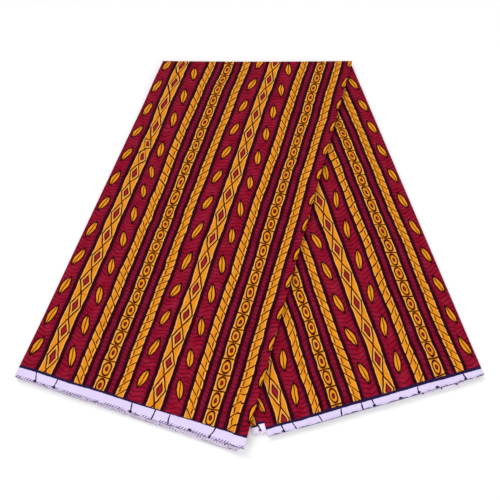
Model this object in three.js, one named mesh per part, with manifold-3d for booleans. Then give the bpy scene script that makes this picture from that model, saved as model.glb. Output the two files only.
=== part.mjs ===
// A length of wax print cotton, folded for the shelf.
//
// The cloth is one flat piece. It is folded to and fro along its length into a strip one panel wide,
// and the strip is doubled over a slanting fold, so that it lies as two wings spread like a fan. The
// left wing lies over the right one. Both woven edges (the selvedges) are at the bottom, and the
// doubled fold is the straight edge at the top.
//
// Frame: millimetres, +Z up, -Y towards the selvedges, origin on the ground under the middle.
// A leaf is a pair of cloth thicknesses that lie together. The leaf that shows on a wing is a solid
// of its own, and the leaves under it share one solid whose edges are layered.

import * as THREE from 'three';
import Module from 'manifold-3d';

const { clamp, degToRad, lerp, smoothstep } = THREE.MathUtils;

// Driving sizes.
const CLOTH_WIDTH = 1192; // from selvedge to selvedge, which is along the strip
const PANEL_WIDTH = 309; // across the strip
const FOLD_OFFSET = 8.2; // how much nearer the doubled fold is to the right wing's selvedges
const LEFT_TURN = degToRad(16.35); // each wing's slant from straight down
const RIGHT_TURN = degToRad(15.15);
const SHOWN_LEAF = 1.0; // thickness of the leaf that shows
const HIDDEN_LEAF = 0.76; // rise from one hidden leaf to the next
const SINK = 0.6; // how deep a hidden leaf goes into the one under it
const PARTING = 0.2; // gap between hidden leaves at their edges
const LIP = 3; // width of the edge along which they part
const SEAM = 0.3; // clear gap between neighbouring solids
const WING_GAP = 0.6; // between the two wings where one lies on the other
const RAMP_START = 3; // how far past the right wing's edge the left wing starts to come down
const RAMP = 46; // run over which it comes down to the ground

// Facets.
const RAMP_CREASES = [1, 0.8, 0.6, 0.4, 0.2, 0]; // shares of the ramp, from its foot up
const CREASE_INSET = 16; // least distance from a crease to the edge of the leaf that shows
const CREASE_MARGIN = 3; // least distance between creases
const BEND_STEPS = 12; // round the doubled fold
const WING_STEPS = 12; // along a wing, down to where its leaves' ends part
const BODY_SHARE = 0.965; // of the shown leaf's length, where that is
const STEP_GROWTH = 1.5; // the steps are shorter near the doubled fold

// How the leaves of each wing lie, from the top one down. atFold, left and right: how far a folded
// edge stands out past half a panel, at the doubled fold and at the selvedge. leftDrop and
// rightDrop: how much further down the wing that corner of the selvedge reaches.
const LEFT_LEAVES = [
  { atFold: 0.0, left: 2.3, right: 2.3, leftDrop: -0.4, rightDrop: 0.4 },
  { atFold: -0.4, left: 2.6, right: -0.5, leftDrop: -1.2, rightDrop: 0.6 },
  { atFold: 0.3, left: 1.2, right: -4.5, leftDrop: -2.4, rightDrop: 1.8 },
  { atFold: -0.3, left: 3.4, right: -3.0, leftDrop: -2.0, rightDrop: 0.4 },
  { atFold: 0.2, left: 1.8, right: -6.5, leftDrop: -3.6, rightDrop: 1.6 },
  { atFold: -0.2, left: 2.9, right: -5.8, leftDrop: -3.4, rightDrop: -0.4 },
];
const RIGHT_LEAVES = [
  { atFold: -0.2, left: -7.6, right: -7.6, leftDrop: 1.5, rightDrop: -1.5 },
  { atFold: 0.2, left: 1.5, right: -7.0, leftDrop: -2.4, rightDrop: 4.2 },
  { atFold: -0.3, left: 9.9, right: -8.6, leftDrop: -2.8, rightDrop: 2.9 },
  { atFold: 0.3, left: 6.4, right: -7.3, leftDrop: -1.2, rightDrop: 1.4 },
  { atFold: -0.4, left: 8.8, right: -9.1, leftDrop: -1.7, rightDrop: 2.2 },
  { atFold: 0.0, left: 7.2, right: -7.9, leftDrop: -1.0, rightDrop: 0.6 },
];

// Sizes that follow.
const LEAF_COUNT = LEFT_LEAVES.length;
const HIDDEN_HEIGHT = HIDDEN_LEAF * (LEAF_COUNT - 1);
const STACK = HIDDEN_HEIGHT + SEAM + SHOWN_LEAF; // one wing's height
const LEFT_FLOOR = STACK + WING_GAP; // underside of the left wing where it lies on the right one
const BEND_AXIS = STACK + WING_GAP / 2; // height of the doubled fold's axis
const BEND_INNER = WING_GAP / 2;
const BEND_OUTER = BEND_INNER + STACK;
const HALF_FOLD = PANEL_WIDTH / Math.cos((LEFT_TURN + RIGHT_TURN) / 2) / 2; // half the top edge

/** How far a leaf reaches down its wing: rank 0 is the innermost leaf of the doubled fold. */
function leafReach(side, rank) {
  const radius = BEND_INNER + STACK * ((rank + 0.5) / LEAF_COUNT);
  return (CLOTH_WIDTH - Math.PI * radius) / 2 - side * FOLD_OFFSET;
}

/** A wing's own directions and leaves: side is -1 for the wing that slants left, 1 for the other. */
function makeWing(side, turn, leaves) {
  const outermost = LEAF_COUNT - 1;
  return {
    across: new THREE.Vector2(Math.cos(turn), side * Math.sin(turn)),
    along: new THREE.Vector2(side * Math.sin(turn), -Math.cos(turn)),
    halfAtFold: HALF_FOLD * Math.cos(turn),
    leaves: leaves.map((leaf, i) => ({
      ...leaf,
      reach: leafReach(side, side < 0 ? outermost - i : i),
    })),
  };
}

/** The folded edges of a leaf at v along it, as distances across the wing. */
function leafEdges(wing, leaf, v) {
  const atFold = wing.halfAtFold + leaf.atFold;
  return [
    -lerp(atFold, PANEL_WIDTH / 2 + leaf.left, v),
    lerp(atFold, PANEL_WIDTH / 2 + leaf.right, v),
  ];
}

/**
 * The point at s across a leaf and v along it, 0 at the doubled fold and 1 at the selvedge. Above
 * their ends, all the leaves of a wing have their points one over another.
 */
function leafPoint(wing, leaf, s, v) {
  const start = (SEAM + wing.across.y * s) / -wing.along.y;
  const ownEnd = leaf.reach + lerp(leaf.leftDrop, leaf.rightDrop, s / PANEL_WIDTH + 0.5);
  const t = v < 1 ? lerp(start, wing.leaves[0].reach, v) : ownEnd;
  return wing.across.clone().multiplyScalar(s).addScaledVector(wing.along, t);
}

const leftWing = makeWing(-1, LEFT_TURN, LEFT_LEAVES);
const rightWing = makeWing(1, RIGHT_TURN, RIGHT_LEAVES);

// The right wing's left edge, on its widest leaf. The left wing lies on what is right of this line.
const widestLeaf = rightWing.leaves.reduce((a, b) => (a.left > b.left ? a : b));
const edgeStart = new THREE.Vector2(-HALF_FOLD, 0);
const edgeEnd = leafPoint(rightWing, widestLeaf, leafEdges(rightWing, widestLeaf, 1)[0], 1);
const edgeRun = edgeEnd.clone().sub(edgeStart).normalize();

/** How far down the ramp a point is: 0 or less on the right wing, 1 or more on the ground. */
function rampShare(point) {
  const pastEdge = point.clone().sub(edgeStart).cross(edgeRun);
  return (pastEdge - RAMP_START) / RAMP;
}

/** Where the left wing is creased across at v: the creases follow the ramp but stay on the wing. */
leftWing.creases = (v) => {
  const shown = leftWing.leaves[0];
  const [low, high] = leafEdges(leftWing, shown, v);
  const [lowShare, highShare] = [low, high].map((s) => rampShare(leafPoint(leftWing, shown, s, v)));
  return RAMP_CREASES.map((share, i) => {
    const s = THREE.MathUtils.mapLinear(share, lowShare, highShare, low, high);
    const least = low + CREASE_INSET + CREASE_MARGIN * i;
    const most = high - CREASE_INSET - CREASE_MARGIN * (RAMP_CREASES.length - 1 - i);
    return clamp(s, least, most);
  });
};
leftWing.underside = (point) => LEFT_FLOOR * (1 - smoothstep(rampShare(point), 0, 1));

/** The right wing lies flat on the ground. */
rightWing.creases = () => [];
rightWing.underside = () => 0;

/**
 * A leaf's section as [across, height] pairs, anticlockwise from the tip of its low folded edge.
 * Point i of the lower side faces point i from the end. sink is how deep the underside goes down
 * inside the lips, and such a leaf parts from the one under it at its edges.
 */
function leafSection([low, high], creases, bottom, top, sink) {
  const edgeBottom = sink > 0 ? bottom + PARTING : bottom;
  const radius = (top - edgeBottom) / 2;
  const slant = radius * Math.SQRT1_2;
  const middle = (top + edgeBottom) / 2;
  const inner = [low + radius + LIP, ...creases, high - radius - LIP];
  return [
    [low, middle],
    [low + radius - slant, middle - slant],
    [low + radius, edgeBottom],
    ...inner.map((s) => [s, bottom - sink]),
    [high - radius, edgeBottom],
    [high - radius + slant, middle - slant],
    [high, middle],
    [high - radius + slant, middle + slant],
    [high - radius, top],
    ...inner.toReversed().map((s) => [s, top]),
    [low + radius, top],
    [low + radius - slant, middle + slant],
  ];
}

/**
 * A closed solid through rings of points that run anticlockwise as seen from the last ring. The
 * facets of its upper and lower sides are split along the same diagonals, so that leaves nest.
 */
function loft(rings) {
  const size = rings[0].length;
  const index = [];
  for (let start = 0; start < (rings.length - 1) * size; start += size) {
    for (let i = 0; i < size; i += 1) {
      const [a, b] = [start + i, start + ((i + 1) % size)];
      if (i < size / 2) index.push(a, b, b + size, a, b + size, a + size);
      else index.push(a, b, a + size, b, b + size, a + size);
    }
  }
  const last = (rings.length - 1) * size;
  for (let i = 0; i < size / 2; i += 1) {
    const [a, b, c, d] = [i, i + 1, size - i - 1, (size - i) % size];
    if (b !== c) index.push(a, c, b, last + a, last + b, last + c);
    if (a !== d) index.push(a, d, c, last + a, last + c, last + d);
  }
  const geometry = new THREE.BufferGeometry().setFromPoints(rings.flat());
  return geometry.setIndex(index);
}

/** One leaf of a wing between two heights over the wing's underside. */
function wingLeaf(wing, leaf, bottom, top, sink = 0) {
  const stations = Array.from({ length: WING_STEPS + 1 }, (_, i) => (
    BODY_SHARE * (i / WING_STEPS) ** STEP_GROWTH
  ));
  return loft([...stations, 1].map((v) => {
    const section = leafSection(leafEdges(wing, leaf, v), wing.creases(v), bottom, top, sink);
    return section.map(([s, height]) => {
      const point = leafPoint(wing, leaf, s, v);
      return new THREE.Vector3(point.x, point.y, wing.underside(point) + height);
    });
  }));
}

/** One leaf going round the doubled fold between two radii. */
function bendLeaf(leaf, inner, outer, sink = 0) {
  const edges = [-HALF_FOLD - leaf.atFold, HALF_FOLD + leaf.atFold];
  const section = leafSection(edges, [], inner, outer, sink);
  const rings = [];
  for (let i = 0; i <= BEND_STEPS; i += 1) {
    const turn = Math.PI * (i / BEND_STEPS);
    const [rise, out] = [-Math.cos(turn), Math.sin(turn)];
    rings.push(section.map(([x, r]) => new THREE.Vector3(x, r * out, BEND_AXIS + r * rise)));
  }
  return loft(rings);
}

const wasm = await Module();
wasm.setup();

/** Joins leaves that go into each other into one solid, and fills the slivers left between them. */
function fuse(leaves) {
  const solids = leaves.map((geometry) => new wasm.Manifold(new wasm.Mesh({
    numProp: 3,
    vertProperties: geometry.attributes.position.array,
    triVerts: new Uint32Array(geometry.index.array),
  })));
  const shells = solids.reduce((whole, solid) => whole.add(solid)).decompose();
  const mesh = shells.reduce((a, b) => (a.volume() > b.volume() ? a : b)).getMesh();
  const geometry = new THREE.BufferGeometry();
  geometry.setAttribute('position', new THREE.BufferAttribute(mesh.vertProperties, 3));
  return geometry.setIndex(new THREE.BufferAttribute(mesh.triVerts, 1));
}

/** The hidden leaves one over another, from the top or outermost down: makeLeaf builds each. */
function fuseHidden(leaves, highest, makeLeaf) {
  return fuse(leaves.map((leaf, i) => {
    const top = highest - HIDDEN_LEAF * i;
    const isLowest = i === leaves.length - 1;
    return makeLeaf(leaf, top - HIDDEN_LEAF, top, isLowest ? 0 : SINK);
  }));
}

/** A named mesh in a matt cotton of its own. */
function piece(name, color, geometry) {
  geometry.computeVertexNormals();
  const cotton = new THREE.MeshStandardMaterial({ color, roughness: 0.78, metalness: 0 });
  const mesh = new THREE.Mesh(geometry, cotton);
  mesh.name = name;
  return mesh;
}

const PRINTED_FACE = '#8a132d';
const FOLDED_EDGES = '#c9831a';

const folded = new THREE.Group();
for (const [name, wing] of [['left', leftWing], ['right', rightWing]]) {
  const [shown, ...hidden] = wing.leaves;
  const panel = wingLeaf(wing, shown, HIDDEN_HEIGHT + SEAM, STACK);
  const layers = fuseHidden(hidden, HIDDEN_HEIGHT, (leaf, ...levels) => wingLeaf(wing, leaf, ...levels));
  folded.add(piece(`${name}_panel`, PRINTED_FACE, panel));
  folded.add(piece(`${name}_layers`, FOLDED_EDGES, layers));
}
const [outermost, ...innerLeaves] = LEFT_LEAVES;
folded.add(piece('top_fold', PRINTED_FACE, bendLeaf(outermost, BEND_OUTER - SHOWN_LEAF, BEND_OUTER)));
folded.add(piece('top_fold_layers', FOLDED_EDGES, fuseHidden(innerLeaves, BEND_INNER + HIDDEN_HEIGHT, bendLeaf)));

const extent = new THREE.Box3().setFromObject(folded);
const centre = extent.getCenter(new THREE.Vector3());
folded.position.set(-centre.x, -centre.y, 0);

const wax_print_cloth = new THREE.Group();
wax_print_cloth.add(folded);

export default wax_print_cloth;
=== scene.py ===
"""A length of wax print cotton, folded for the shelf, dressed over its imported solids.

The cloth is one flat piece, folded to and fro along its length into twelve panels that lie one on
another. The strip that this gives is doubled over a slanting fold, so that it lies as two wings, the
left one on the right one. It is made here as real cloth: a thin ribbon that runs through every panel
and round every fold, from one selvedge to the other.

Frame: metres, +Z up, -Y towards the selvedges. Side A of the strip is at the left end of the doubled
fold and side B at its right end. Panel 0 is the outermost one, which shows on the left wing, and
panel 11 the innermost one, which shows on the right wing.
"""

import logging
import math
from dataclasses import dataclass, field
from enum import Enum
from typing import Iterator, NamedTuple, Union

import bpy
import numpy as np
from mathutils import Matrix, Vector


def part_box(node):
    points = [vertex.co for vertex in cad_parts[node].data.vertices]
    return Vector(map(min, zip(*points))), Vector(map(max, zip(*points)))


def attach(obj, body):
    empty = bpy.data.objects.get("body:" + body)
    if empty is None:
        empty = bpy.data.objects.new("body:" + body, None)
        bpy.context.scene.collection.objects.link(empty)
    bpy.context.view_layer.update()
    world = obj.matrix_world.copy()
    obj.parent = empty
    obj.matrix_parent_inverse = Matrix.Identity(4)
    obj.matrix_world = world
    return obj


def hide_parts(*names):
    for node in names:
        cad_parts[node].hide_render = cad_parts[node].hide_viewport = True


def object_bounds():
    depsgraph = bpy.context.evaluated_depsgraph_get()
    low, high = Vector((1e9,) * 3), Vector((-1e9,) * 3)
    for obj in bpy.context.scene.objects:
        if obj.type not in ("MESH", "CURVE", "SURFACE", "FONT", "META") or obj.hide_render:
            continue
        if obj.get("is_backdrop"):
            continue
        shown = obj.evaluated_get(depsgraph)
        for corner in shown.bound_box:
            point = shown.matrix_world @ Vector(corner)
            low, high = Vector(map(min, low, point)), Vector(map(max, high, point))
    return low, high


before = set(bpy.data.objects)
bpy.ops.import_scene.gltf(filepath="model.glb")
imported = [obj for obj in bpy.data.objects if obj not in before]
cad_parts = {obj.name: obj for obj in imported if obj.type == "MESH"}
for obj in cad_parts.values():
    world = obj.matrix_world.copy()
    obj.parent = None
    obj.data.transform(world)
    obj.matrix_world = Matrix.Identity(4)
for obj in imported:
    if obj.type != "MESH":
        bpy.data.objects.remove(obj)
cad_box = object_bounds()

log = logging.getLogger("wax_print_fabric")

MM = 0.001
MM_PER_METRE = 1000.0
NO_LENGTH = 1e-12  # keeps a division by a vector's length safe
CLOTH_MAP = "cloth"  # the UV map that holds the place on the flat cloth, in metres
DYE = "dye"  # the attribute of a loose thread that says how dark it is
LEAST_HEIGHT = 0.02 * MM  # of a loose thread above the ground


class Fold(NamedTuple):
    """How far a folded edge stands out past half a panel, in millimetres."""

    at_top: float  # at the doubled fold
    left: float  # at the left wing's selvedge
    right: float  # at the right wing's selvedge


# On side A fold i joins panels 2i and 2i + 1.
FOLDS_A = (
    Fold(0.0, 2.3, 7.2),
    Fold(-0.4, 2.6, 8.8),
    Fold(0.3, 1.2, 6.4),
    Fold(-0.3, 3.4, 9.9),
    Fold(0.2, 1.8, 1.5),
    Fold(-0.2, 2.9, -7.6),
)
# On side B fold i joins panels 2i - 1 and 2i. The first and the last are the tucks at the cut ends.
FOLDS_B = (
    Fold(1.2, 2.3, -6.9),
    Fold(0.8, -0.5, -8.1),
    Fold(1.5, -4.5, -6.3),
    Fold(0.9, -3.0, -7.6),
    Fold(1.4, -6.5, -6.0),
    Fold(1.0, -5.8, -36.5),
    Fold(1.0, -5.2, -6.6),
)


class Drop(NamedTuple):
    """How much further down its wing a panel's selvedge reaches at sides A and B, in millimetres."""

    left_a: float
    left_b: float
    right_a: float
    right_b: float


DROPS = (
    Drop(2.9, 4.6, -5.2, -3.8),
    Drop(1.5, 3.9, -0.3, 1.2),
    Drop(1.4, 3.9, -1.7, 2.2),
    Drop(0.5, 4.6, -2.4, 1.6),
    Drop(0.3, 4.4, -1.2, 1.4),
    Drop(-0.7, 3.6, -2.0, 0.8),
    Drop(-0.9, 3.6, -3.4, 0.5),
    Drop(-1.2, 4.1, -3.4, -1.0),
    Drop(-2.1, 4.0, -3.5, 0.8),
    Drop(-2.2, 3.6, -6.1, 6.4),
    Drop(-3.0, 3.6, -6.2, 6.4),
    Drop(-3.8, 2.4, 0.9, 0.2),
)


class Swell(NamedTuple):
    """A soft ridge in the panel that shows: its middle, half sizes and height, in millimetres."""

    across: float
    along: float
    half_across: float
    half_along: float
    slant: float  # degrees from the way the wing runs
    height: float


LEFT_SWELLS = (
    Swell(-92, 150, 30, 120, 4, 0.9),
    Swell(-28, 260, 24, 160, -3, 0.7),
    Swell(58, 120, 34, 90, 6, 0.8),
    Swell(104, 330, 22, 150, 2, 1.1),
    Swell(-118, 420, 20, 110, -5, 0.8),
    Swell(18, 470, 42, 70, 12, 0.7),
    Swell(-60, 560, 38, 34, -8, 1.2),
    Swell(84, 572, 30, 30, 5, 1.3),
    Swell(130, 480, 14, 90, 0, 0.7),
)
RIGHT_SWELLS = (
    Swell(112, 170, 26, 120, -4, 0.8),
    Swell(72, 330, 30, 110, 5, 0.7),
    Swell(124, 430, 16, 120, 0, 0.9),
    Swell(18, 520, 34, 60, -9, 0.7),
    Swell(-70, 566, 30, 26, 6, 0.8),
    Swell(62, 570, 28, 30, 3, 1.1),
)


def eased(share: np.ndarray) -> np.ndarray:
    """A share that is cut off at 0 and 1 and starts and ends softly."""
    held = np.clip(share, 0.0, 1.0)
    return held * held * (3.0 - 2.0 * held)


def between(first: np.ndarray, last: np.ndarray, share: np.ndarray) -> np.ndarray:
    """The value at a share of the way from first to last."""
    return first + (last - first) * share


class Side(Enum):
    """The two wings, by the way each slants."""

    LEFT = -1
    RIGHT = 1


@dataclass(frozen=True)
class Wing:
    """One half of the doubled strip.

    Attributes:
        side: Which wing it is.
        turn: Its slant from straight down, in radians.
        swells: The soft ridges of the panel that shows on it.
        curl: How high its end is lifted at sides A and B, in metres.
        bow: How much further down the middle of its end reaches than its corners.
    """

    side: Side
    turn: float
    swells: tuple[Swell, ...]
    curl: tuple[float, float] = (0.0, 0.0)
    bow: float = 0.0

    @property
    def across(self) -> np.ndarray:
        """The way across the wing, from side A to side B."""
        return np.array([math.cos(self.turn), self.side.value * math.sin(self.turn)])

    @property
    def along(self) -> np.ndarray:
        """The way down the wing, from the doubled fold to the selvedge."""
        return np.array([self.side.value * math.sin(self.turn), -math.cos(self.turn)])

    def fold_edge(self, fold: Fold) -> float:
        """How far a folded edge stands out past half a panel at this wing's selvedge, in metres."""
        return (fold.left if self.side is Side.LEFT else fold.right) * MM

    def drops(self, drop: Drop) -> tuple[float, float]:
        """How much further down a panel's selvedge reaches on sides A and B, in metres."""
        if self.side is Side.LEFT:
            return drop.left_a * MM, drop.left_b * MM
        return drop.right_a * MM, drop.right_b * MM


@dataclass(frozen=True)
class Run:
    """A stretch of a panel across the strip.

    Attributes:
        panel: The panel it belongs to, from 0 to 11, or the panel that a tuck belongs to.
        level: Its place from the outside of the doubled fold inwards, in layers.
        from_a: Whether the cloth's own length runs from side A to side B here.
        reach: How much of it there is, from the fold that it hangs on, or None for all of it.
        starts: Whether the cloth starts here, so that the fold comes after it.
        skip: How much of a whole panel is left out next to side A.
    """

    panel: int
    level: int
    from_a: bool
    reach: Union[float, None] = None
    starts: bool = False
    skip: float = 0.0


@dataclass
class Sheet:
    """The middle surface of a stretch of cloth, as a grid of points.

    Attributes:
        points: Rows of points, from the left selvedge to the right one.
        cloth: The place of each point on the flat cloth, in metres.
    """

    points: np.ndarray
    cloth: np.ndarray


@dataclass(frozen=True)
class FoldedStrip:
    """The whole cloth's real sizes, and where each point of it lies.

    Lengths are in metres.

    Attributes:
        cloth_width: From selvedge to selvedge.
        panel_width: The width of the folded strip.
        panels: How many panels the cloth is folded into.
        tuck: How much is tucked under at each cut end.
        turn_under: How much of an outer stretch is turned under past its fold.
        joint: The gap between two stretches.
        stack: The thickness of all the layers.
        wing_gap: The gap between the two wings.
        fold_offset: How far the doubled fold is from the middle of the cloth's width.
        ramp_start: Where the left wing starts to come down, from the right wing's edge.
        ramp: How far it takes to come down.
        end_zone: The stretch near the selvedge in which the layers are stepped and come apart.
        edge_zone: The stretch near a folded edge in which the layers are thicker.
        edge_rise: How much thicker they are there, as a share.
        end_lift: The most that two layers come apart at the selvedge.
        loose_lift: How much the panel that shows lies off the others.
        column_inset: How far the first column of points is from a folded edge.
        column_gap: The least distance between the ramp's columns and the others.
        least_ramp: The least width of the ramp's columns.
        even_from: The share of the way down from which the right wing's columns are even.
        bend_rows: The rows of points round the doubled fold.
        fold_stop: The share of the way down up to which the rows are closer near the doubled fold.
        row_counts: How many rows there are near the doubled fold, down the wing and near its end.
        covered_by: How far past the left wing's edge the right wing is still pressed down.
        freed_in: How far it takes to be free.
        wave: The half height and the length of the waves in a selvedge.
        swell_edge: How far from a folded edge the soft ridges start, and how far they take to.
        top_zone: The share of the way down in which the layers are pressed by the doubled fold.
        curl_zone: The stretch near the selvedge in which a wing's end curls up.
        pull_zone: The stretch near the doubled fold in which it is drawn in.
        fold_hollow: How far the middle of the doubled fold is drawn in.
        fold_pinch: How far its left end is drawn in, as a share.
        left: The left wing.
        right: The right wing.
    """

    cloth_width: float = 1.192
    panel_width: float = 0.309
    panels: int = 12
    tuck: float = 0.025
    turn_under: float = 0.012
    joint: float = 0.0003
    stack: float = 0.0051
    wing_gap: float = 0.0006
    fold_offset: float = 0.0082
    ramp_start: float = 0.003
    ramp: float = 0.046
    end_zone: float = 0.07
    edge_zone: float = 0.016
    edge_rise: float = 0.1
    end_lift: float = 0.11 * MM
    loose_lift: float = 0.22 * MM
    column_inset: float = 0.016
    column_gap: float = 0.004
    least_ramp: float = 0.02
    even_from: float = 0.3
    bend_rows: int = 20
    fold_stop: float = 0.05
    row_counts: tuple[int, int, int] = (5, 40, 14)
    covered_by: float = 2 * MM
    freed_in: float = 22 * MM
    wave: tuple[float, float] = (0.25 * MM, 0.017)
    swell_edge: tuple[float, float] = (1.5 * MM, 26 * MM)
    top_zone: float = 0.08
    curl_zone: float = 0.11
    pull_zone: float = 0.07
    fold_hollow: float = 1.5 * MM
    fold_pinch: float = 0.008
    left: Wing = Wing(Side.LEFT, math.radians(16.35), LEFT_SWELLS, curl=(1.6 * MM, 2.8 * MM))
    right: Wing = Wing(Side.RIGHT, math.radians(15.15), RIGHT_SWELLS, bow=1.0 * MM)

    @property
    def levels(self) -> int:
        """How many layers lie one over another where the tucks are."""
        return self.panels + 2

    @property
    def rise(self) -> float:
        """The height from one layer to the next."""
        return self.stack / self.levels

    @property
    def left_floor(self) -> float:
        """The height of the left wing's underside where it lies on the right wing."""
        return self.stack + self.wing_gap

    @property
    def fold_axis(self) -> float:
        """The height of the line that the strip is doubled round."""
        return self.stack + self.wing_gap / 2

    @property
    def half_fold(self) -> float:
        """Half the length of the doubled fold."""
        return self.panel_width / math.cos((self.left.turn + self.right.turn) / 2) / 2

    @property
    def middle(self) -> np.ndarray:
        """Where the middle of the doubled fold is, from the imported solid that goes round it."""
        low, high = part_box("top_fold")
        return np.array([(low.x + high.x) / 2, low.y, 0.0])

    def from_inside(self, level: np.ndarray) -> np.ndarray:
        """How far a layer is from the inside of the doubled fold."""
        return self.stack - (level + 0.5) * self.rise

    def reach(self, wing: Wing, level: np.ndarray) -> np.ndarray:
        """How far a layer reaches down a wing, measured along the middle of the strip."""
        round_fold = math.pi * (self.wing_gap / 2 + self.from_inside(level))
        return (self.cloth_width - round_fold) / 2 - wing.side.value * self.fold_offset

    def shown_level(self, wing: Wing) -> int:
        """The level of the panel that shows on a wing."""
        return 0 if wing.side is Side.LEFT else self.levels - 1

    def half_width(self, wing: Wing, fold: Fold, share: np.ndarray) -> np.ndarray:
        """How far a folded edge is from the middle of the strip, at a share of the way down."""
        at_top = self.half_fold * math.cos(wing.turn) + fold.at_top * MM
        return between(at_top, self.panel_width / 2 + wing.fold_edge(fold), share)

    def shown_edges(self, wing: Wing, share: np.ndarray) -> tuple[np.ndarray, np.ndarray]:
        """Where sides A and B of the panel that shows are, at a share of the way down."""
        shown = 0 if wing.side is Side.LEFT else -1
        fold_a, fold_b = FOLDS_A[shown], FOLDS_B[shown]
        return -self.half_width(wing, fold_a, share), self.half_width(wing, fold_b, share)

    def place(self, wing: Wing, across: np.ndarray, along: np.ndarray) -> np.ndarray:
        """The point of the ground at a distance across and along a wing, from the fold's middle."""
        return across[..., None] * wing.across + along[..., None] * wing.along

    def down_wing(self, wing: Wing, across: np.ndarray, share: np.ndarray) -> np.ndarray:
        """How far down a wing a point is, at a share of the way from the doubled fold."""
        start = across * wing.across[1] / -wing.along[1]
        return between(start, self.reach(wing, np.array(self.shown_level(wing))), share)

    def ramp_share(self, point: np.ndarray) -> np.ndarray:
        """How far down the ramp beside the right wing a point is: 0 on the wing, 1 on the ground."""
        start = np.array([-self.half_fold, 0.0])
        widest = max(FOLDS_A, key=lambda fold: fold.right)
        edge = -self.half_width(self.right, widest, np.array(1.0))
        end = self.place(self.right, edge, self.reach(self.right, np.array(self.levels / 2)))
        run = (end - start) / np.linalg.norm(end - start)
        away = point - start
        return (away[..., 0] * run[1] - away[..., 1] * run[0] - self.ramp_start) / self.ramp

    def underside(self, wing: Wing, point: np.ndarray) -> np.ndarray:
        """The height of what a wing lies on."""
        if wing.side is Side.RIGHT:
            return np.zeros(point.shape[:-1])
        return self.left_floor * (1.0 - eased(self.ramp_share(point)))

    def uncovered(self, point: np.ndarray) -> np.ndarray:
        """How free of the left wing a point of the right wing is, from 0 to 1."""
        start = np.array([self.half_fold, 0.0])
        edge = self.half_width(self.left, FOLDS_B[0], np.array(1.0))
        end = self.place(self.left, edge, self.reach(self.left, np.array(0)))
        run = (end - start) / np.linalg.norm(end - start)
        away = point - start
        past = away[..., 1] * run[0] - away[..., 0] * run[1]
        return eased((past - self.covered_by) / self.freed_in)

    def columns(self, wing: Wing, share: float, steps: tuple[int, int, int]) -> np.ndarray:
        """Where the columns of points are across a wing, apart from those at its folded edges.

        Args:
            wing: The wing.
            share: How far down the wing the row is.
            steps: How many steps there are before, on and after the ramp.

        Returns:
            Distances across the wing, in order from side A. The steps on the ramp follow it.
        """
        low, high = self.shown_edges(self.left, np.array(share))
        ends = np.array([low, high])
        down = self.down_wing(self.left, ends, np.array(share))
        ramp = self.ramp_share(self.place(self.left, ends, down))
        foot, crest = np.interp([1.0, 0.0], ramp[::-1], ends[::-1]) if ramp[0] > ramp[1] else (low, low)
        first, last = low + self.column_inset, high - self.column_inset
        foot = min(max(foot, first + self.column_gap), last - 2 * self.least_ramp)
        crest = min(max(crest, foot + self.least_ramp), last - self.column_gap)
        stops = [first, foot, crest, last]
        parts = [np.linspace(a, b, n + 1)[:-1] for a, b, n in zip(stops, stops[1:], steps)]
        left = np.append(np.concatenate(parts), last)
        if wing.side is Side.LEFT:
            return left
        low, high = self.shown_edges(wing, np.array(share))
        even = np.linspace(low + self.column_inset, high - self.column_inset, len(left))
        evenness = float(eased(np.array(share / self.even_from)))
        return between(self.columns(self.left, 0.0, steps), even, evenness)

    def stations(self, wing: Wing) -> np.ndarray:
        """The rows of points down a wing, as shares of its length, closer near both ends."""
        length = float(self.reach(wing, np.array(self.shown_level(wing))))
        body = 1.0 - self.end_zone / length
        top, middle, end = self.row_counts
        near_fold = np.linspace(0.0, self.fold_stop, top)[:-1]
        down = np.linspace(self.fold_stop, body, middle)[:-1]
        return np.concatenate([near_fold, down, np.linspace(body, 1.0, end)])

    def lift(self, wing: Wing, level: np.ndarray, across: np.ndarray, share: np.ndarray) -> np.ndarray:
        """How much the layers under a layer have come apart, mostly near the selvedge."""
        length = float(self.reach(wing, np.array(self.shown_level(wing))))
        to_end = eased(1.0 - (1.0 - share) * length / self.end_zone)
        lifted = np.zeros(np.broadcast(level, across, share).shape)
        for i in range(self.levels - 1):
            wave = 0.5 + 0.5 * np.sin(across / (0.021 + 0.004 * (i % 3)) + 1.7 * i)
            gap = self.end_lift * wave * to_end
            if wing.side is Side.LEFT:
                under = np.clip(self.levels - 1 - level - i, 0.0, 1.0)
            else:
                under = np.clip(level - i, 0.0, 1.0)
            lifted = lifted + gap * under
        return lifted

    def swell(self, wing: Wing, across: np.ndarray, along: np.ndarray) -> np.ndarray:
        """The height of the soft ridges of the panel that shows."""
        total = np.zeros(across.shape)
        for ridge in wing.swells:
            turn = math.radians(ridge.slant)
            x, y = across - ridge.across * MM, along - ridge.along * MM
            sideways = (x * math.cos(turn) - y * math.sin(turn)) / (ridge.half_across * MM)
            lengthways = (x * math.sin(turn) + y * math.cos(turn)) / (ridge.half_along * MM)
            total += ridge.height * MM * np.exp(-(sideways**2) - lengthways**2)
        return total

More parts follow.
